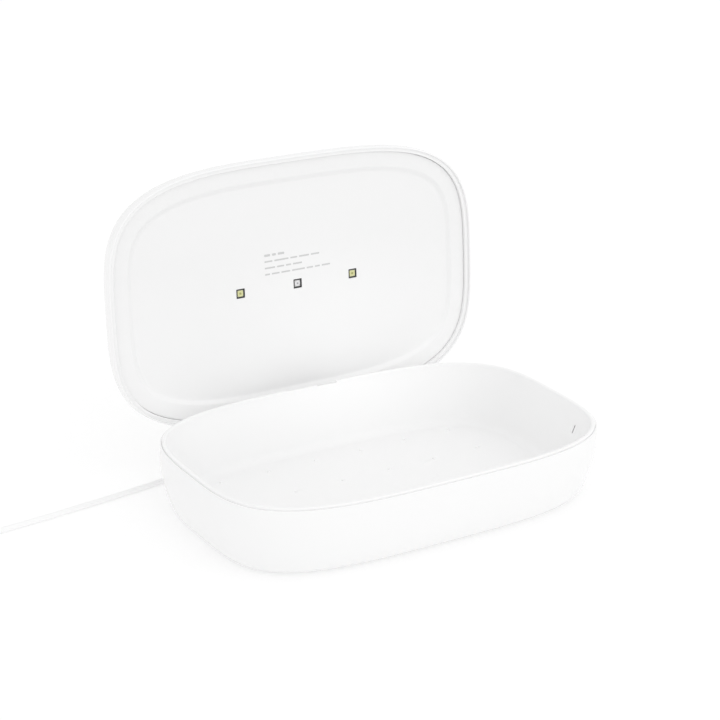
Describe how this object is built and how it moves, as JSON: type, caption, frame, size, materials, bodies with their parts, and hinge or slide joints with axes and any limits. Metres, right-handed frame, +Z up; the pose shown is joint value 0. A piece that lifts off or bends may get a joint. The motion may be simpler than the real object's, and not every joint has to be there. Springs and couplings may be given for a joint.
{
  "type": "toothbrush sanitizer",
  "caption": "Rounded hinged box that lights a toothbrush in its chamber with ultraviolet LEDs in the lid, powered by a thin cord.",
  "frame": {"origin": "middle of the foot pad's lower face, on the surface the box stands on", "axes": "+X along the box's length, +Y from the front wall to the hinge, +Z up"},
  "size_m": [0.3562, 0.1988, 0.1588],
  "materials": {
    "gloss_white": "glossy",
    "chamber_white": "satin gloss",
    "liner_white": "satin gloss",
    "grey_silicone": "matte",
    "screw_steel": "satin",
    "acetal_white": "matte",
    "pin_steel": "polished",
    "green_board": "solder mask",
    "chip_black": "matte",
    "ferrite_grey": "matte",
    "capacitor_tan": "matte",
    "wire_insulation": "matte",
    "cord_white": "satin",
    "tie_white": "matte",
    "plug_white": "satin",
    "plug_steel": "satin",
    "plug_insert": "matte",
    "black_board": "solder mask",
    "led_outer": "gloss",
    "led_centre": "gloss",
    "magnet_nickel": "polished"
  },
  "bodies": {
    "base": {"base_shell": "gloss_white", "chamber_tray": "chamber_white", "foot_pad": "grey_silicone", "base_screws": "screw_steel", "hinge_bracket": "acetal_white", "bracket_screws": "screw_steel", "hinge_pin": "pin_steel", "main_board": "green_board", "driver_chip": "chip_black", "power_inductor": "ferrite_grey", "filter_capacitors": "capacitor_tan", "supply_leads": "wire_insulation", "base_lamp_lead": "wire_insulation", "sensor_board": "green_board", "hall_sensor": "chip_black", "cord_gland": "cord_white", "cord_run": "cord_white", "cord_coil": "cord_white", "cord_tail": "cord_white", "cord_tie": "tie_white", "usb_plug_body": "plug_white", "usb_plug_shell": "plug_steel", "usb_plug_tongue": "plug_insert"},
    "lid": {"lid_shell": "gloss_white", "lid_liner": "liner_white", "led_board": "black_board", "uv_led_left": "led_outer", "uv_led_centre": "led_centre", "uv_led_right": "led_outer", "lamp_frames": "black_board", "led_board_screws": "screw_steel", "lid_lamp_lead": "wire_insulation", "lid_magnet": "magnet_nickel"}
  },
  "joints": [
    {"name": "lid_hinge", "type": "hinge", "parent": "base", "child": "lid", "pos_m": [0, 0.0653, 0.02565], "axis": [1, 0, 0], "range_deg": [0, 95.3]}
  ]
}
